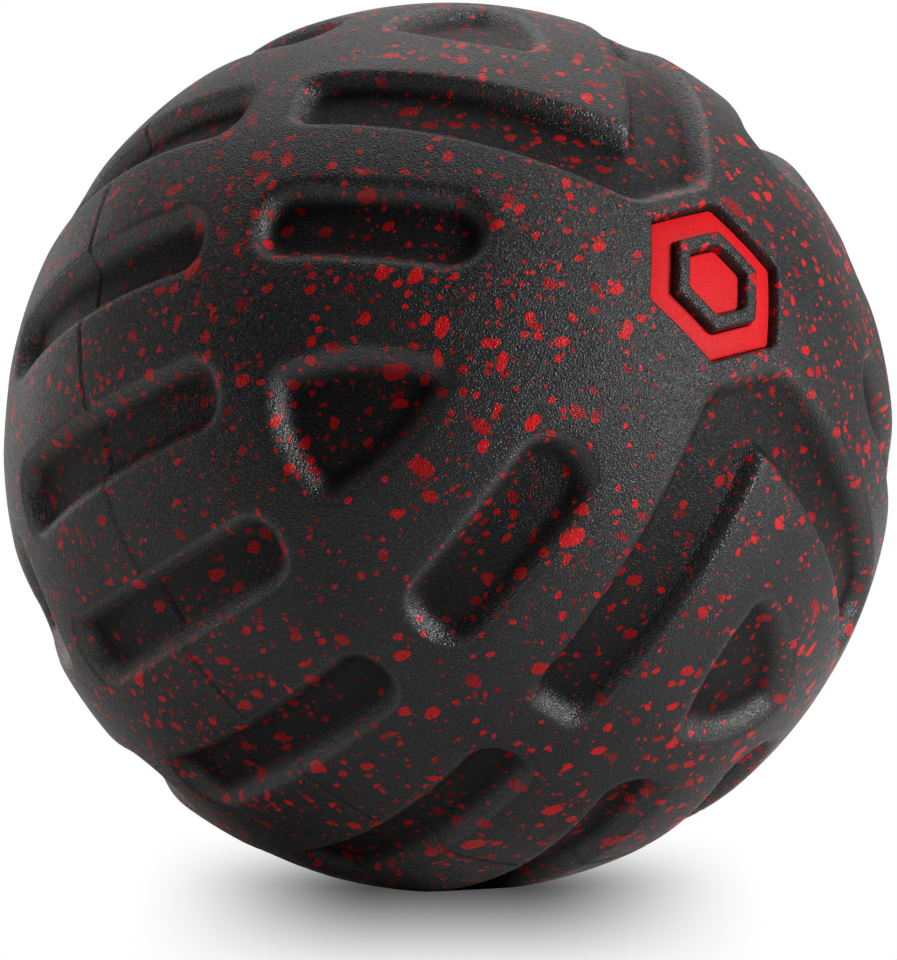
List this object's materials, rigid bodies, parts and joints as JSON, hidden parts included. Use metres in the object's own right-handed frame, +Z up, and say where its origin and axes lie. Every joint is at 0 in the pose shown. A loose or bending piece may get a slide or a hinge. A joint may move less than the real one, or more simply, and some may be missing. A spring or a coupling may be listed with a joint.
{
  "type": "massage ball",
  "caption": "Palm-sized multi-layer foam massage ball: a firm core, a cushion layer and a speckled outer shell with debossed slots, chevrons and triangles.",
  "frame": {"origin": "the ball's centre", "axes": "+Z up with the ball at rest on its flattened patch; -Y is the side the red inlay's pole leans towards, 25.5 degrees above the horizon; +X completes the right-handed frame"},
  "size_m": [0.066, 0.066, 0.0658],
  "materials": {
    "speckled_foam": "matt charcoal foam skin with fused red speckles",
    "cushion_foam": "matt cut foam",
    "core_foam": "matt dense foam",
    "inlay_red": "semi-gloss red"
  },
  "bodies": {
    "root": {"outer_shell_front": "speckled_foam", "outer_shell_back": "speckled_foam", "cushion_layer_front": "cushion_foam", "cushion_layer_back": "cushion_foam", "core_ball": "core_foam", "inlay_ring": "inlay_red", "inlay_badge": "inlay_red"}
  },
  "joints": []
}
